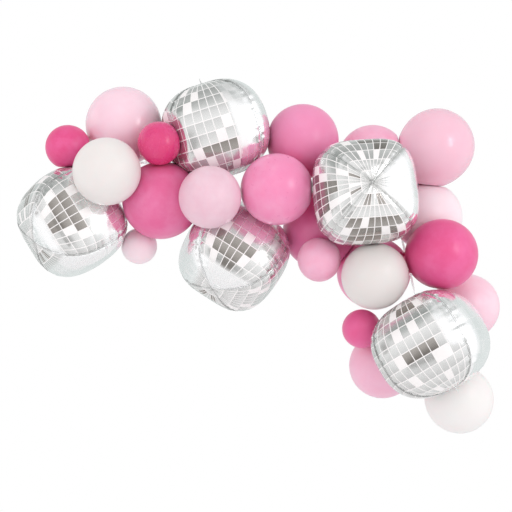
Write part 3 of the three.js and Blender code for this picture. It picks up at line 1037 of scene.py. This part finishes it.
def build_foil(name, body):
    faces = [tuple(reversed(face)) for face in ring_faces(body["rings"], body["around"])]
    piece = mesh_object(name + "_skin", body["centre"] + body["points"], faces)
    extra = body["extra"]
    mesh = piece.data
    # Grid coordinates are kept per face corner, so that they don't wrap round at the seams.
    loops = np.empty(len(mesh.loops), dtype=np.int64)
    mesh.loops.foreach_get("vertex_index", loops)
    corner_u = extra["grid_u"][loops]
    corner_v = extra["grid_v"][loops]
    # Painted highlight: how much of each corner is left bright silver without print.
    bare = highlight_paint_share(name, corner_u, corner_v)
    white = np.zeros(len(loops))
    dark = np.zeros(len(loops))
    full = 4.0 * TILE_COLUMNS
    for polygon in mesh.polygons:
        span = slice(polygon.loop_start, polygon.loop_start + polygon.loop_total)
        us = corner_u[span]
        if us.max() - us.min() > full / 2:
            us[us < full / 2] += full
        tile = tile_class(name, us.mean() % full, corner_v[span].mean())
        white[span] = tile == "W"
        dark[span] = tile == "D"
    per_corner = {
        "grid_u": corner_u,
        "grid_v": corner_v,
        "tile_white": white,
        "tile_dark": dark,
        "bare": bare,
    }
    for key, values in per_corner.items():
        add_attribute(mesh, key, "CORNER", values)
    for key in ("column_width", "seam"):
        add_attribute(mesh, key, "POINT", extra[key])
    finish_piece(piece, name, material_for(foil_material, node_slot(name)))


# The strip's cut edges: where its faces turn by more than this, and their rounding.
EDGE_ANGLE = math.radians(50)
EDGE_ROUNDING = 0.00015


def build_strip(name):
    """The punched strip from its CAD mesh, with its cut edges softened."""
    skin = bmesh.new()
    skin.from_mesh(frame["nodes"][name].data)
    bmesh.ops.remove_doubles(skin, verts=skin.verts, dist=1e-6)
    sharp = [edge for edge in skin.edges if edge.calc_face_angle(0) > EDGE_ANGLE]
    bmesh.ops.bevel(
        skin, geom=sharp, offset=EDGE_ROUNDING, segments=2, profile=0.5, affect="EDGES",
    )
    mesh = bpy.data.meshes.new(name + "_skin")
    skin.to_mesh(mesh)
    skin.free()
    mesh.shade_smooth()
    piece = bpy.data.objects.new(name + "_skin", mesh)
    bpy.context.scene.collection.objects.link(piece)
    finish_piece(piece, name, material_for(strip_material, node_slot(name)))


bodies = {}
for seed, name in enumerate(sorted(frame["nodes"])):
    if name.startswith("latex_"):
        bodies[name] = latex_body(name, seed)
    elif name.startswith("foil_"):
        bodies[name] = foil_body(name, seed)
press_neighbours(bodies)
for name, body in bodies.items():
    build = build_latex if name.startswith("latex_") else build_foil
    build(name, body)
build_strip("garland_strip")


# ---------------------------------------------------------------- studio

middle = (cad_low + cad_high) / 2
# The room that the foil mirrors: its front, its back, its ceiling and its floor.
ROOM_FRONT, ROOM_BACK = (1.07, 1.06, 1.07), (0.68, 0.73, 0.72)
ROOM_TOP, ROOM_BOTTOM = (0.42, 0.44, 0.43), (0.46, 0.43, 0.40)
DRAPE = (1.12, 1.12, 1.13)
# Cones of other brightness in that room: direction, inner and outer angle, colour.
ROOM_PATCHES = (
    ((-0.72, -0.28, 0.62), 0.25, 0.5, (0.16, 0.20, 0.18)),
    ((-0.97, -0.15, 0.0), 0.1, 0.3, (0.22, 0.2, 0.19)),
    ((-0.38, -0.88, -0.34), 0.14, 0.3, (0.10, 0.09, 0.08)),
    ((0.95, -0.25, 0.05), 0.45, 0.8, (1.12, 1.13, 1.15)),
)
LIGHT_FROM_BELOW, LIGHT_FROM_ABOVE = (0.98, 0.95, 0.96), (0.98, 0.98, 0.98)
WHITE = (1.0, 1.0, 1.0)


def studio_world():
    """White to the camera and as soft light; the foil mirrors a pale room with dark corners."""
    world = bpy.data.worlds.new("studio")
    bpy.context.scene.world = world
    world.use_nodes = True
    tree = world.node_tree
    nodes = Nodes(tree)
    tree.nodes.clear()
    direction = nodes.add("ShaderNodeTexCoord").outputs["Generated"]
    parts = nodes.add("ShaderNodeSeparateXYZ")
    nodes.link(direction, parts.inputs[0])
    y, z = parts.outputs["Y"], parts.outputs["Z"]
    behind = nodes.spread(y, -0.1, 0.75)
    room = nodes.mix(behind, ROOM_FRONT, ROOM_BACK)
    room = nodes.mix(nodes.spread(z, 0.45, 0.95), room, ROOM_TOP)
    room = nodes.mix(nodes.spread(z, -0.55, -0.9), room, ROOM_BOTTOM)
    for towards, inner, outer, colour in ROOM_PATCHES:
        dot = nodes.add("ShaderNodeVectorMath", operation="DOT_PRODUCT")
        nodes.link(direction, dot.inputs[0])
        dot.inputs[1].default_value = Vector(towards).normalized()
        inside = nodes.spread(dot.outputs["Value"], math.cos(outer), math.cos(inner))
        room = nodes.mix(inside, room, colour)
    drape = nodes.spread(nodes.noise(2.6, 3.0, direction), 0.3, 0.7)
    drape = nodes.math("MULTIPLY", drape, nodes.mix_value(behind, 0.45, 0.15))
    room = nodes.mix(drape, room, DRAPE)
    path = nodes.add("ShaderNodeLightPath")
    ambient = nodes.mix(nodes.spread(z, -1.0, 1.0), LIGHT_FROM_BELOW, LIGHT_FROM_ABOVE)
    light = nodes.mix(path.outputs["Is Glossy Ray"], ambient, room)
    light = nodes.mix(path.outputs["Is Camera Ray"], light, WHITE)
    background = nodes.add("ShaderNodeBackground")
    nodes.link(light, background.inputs["Color"])
    output = nodes.add("ShaderNodeOutputWorld")
    nodes.link(background.outputs[0], output.inputs["Surface"])


def area_light(name, offset, size, power, glint):
    """A rectangular lamp aimed at the garland's middle; glint says whether gloss shows it."""
    data = bpy.data.lights.new(name, "AREA")
    data.shape = "RECTANGLE"
    data.size, data.size_y = size
    data.energy = power
    lamp = bpy.data.objects.new(name, data)
    lamp.location = middle + Vector(offset)
    lamp.rotation_mode = "QUATERNION"
    lamp.rotation_quaternion = (middle - lamp.location).to_track_quat("-Z", "Y")
    lamp.visible_glossy = glint
    bpy.context.scene.collection.objects.link(lamp)


# The floor's mesh, its radius, and how far it is below the garland's lowest point.
FLOOR_AROUND = 96
FLOOR_RINGS = 12
FLOOR_RADIUS = 1.55
FLOOR_DROP = 0.55


def studio_floor():
    """A pale round floor below the hanging garland, out of the front camera's sight."""
    around, rings = FLOOR_AROUND, FLOOR_RINGS
    points = []
    for ring in range(1, rings + 1):
        reach = FLOOR_RADIUS * ring / rings
        for k in range(around):
            angle = 2 * math.pi * k / around
            points.append((reach * math.cos(angle), reach * math.sin(angle), 0.0))
    points.append((0.0, 0.0, 0.0))
    faces = []
    for k in range(around):
        nxt = (k + 1) % around
        faces.append((rings * around, k, nxt))
        for ring in range(rings - 1):
            a, b = ring * around + k, ring * around + nxt
            faces.append((a, a + around, b + around, b))
    floor = mesh_object("floor", points, faces)
    floor.location = Vector((middle.x, middle.y + 0.1, cad_low.z - FLOOR_DROP))
    material, nodes, shader = new_material("floor_paint")
    cloud = nodes.noise(3.0, 3.0, object_point(nodes))
    tone = nodes.mix(cloud, (0.86, 0.86, 0.87), (0.90, 0.90, 0.90))
    nodes.link(tone, shader.inputs["Base Color"])
    shader.inputs["Roughness"].default_value = 0.7
    floor.data.materials.append(material)


# The camera's place from the garland's middle, level and square to the wall.
CAMERA_OFFSET = (-0.0121, -4.2256, -0.0003)


def studio_camera():
    """A long lens straight at the garland, as in the photograph."""
    data = bpy.data.cameras.new("camera")
    data.lens = 100
    data.sensor_width = 36
    camera = bpy.data.objects.new("camera", data)
    camera.location = middle + Vector(CAMERA_OFFSET)
    camera.rotation_euler = (math.radians(90), 0, 0)
    bpy.context.scene.collection.objects.link(camera)
    bpy.context.scene.camera = camera


studio_world()
studio_floor()
area_light("key", (2.5, -2.4, 1.0), (0.5, 1.3), 17, True)
area_light("fill", (-2.4, -2.2, 0.9), (1.6, 1.6), 9, False)
studio_camera()
bpy.context.scene.view_settings.view_transform = "Standard"
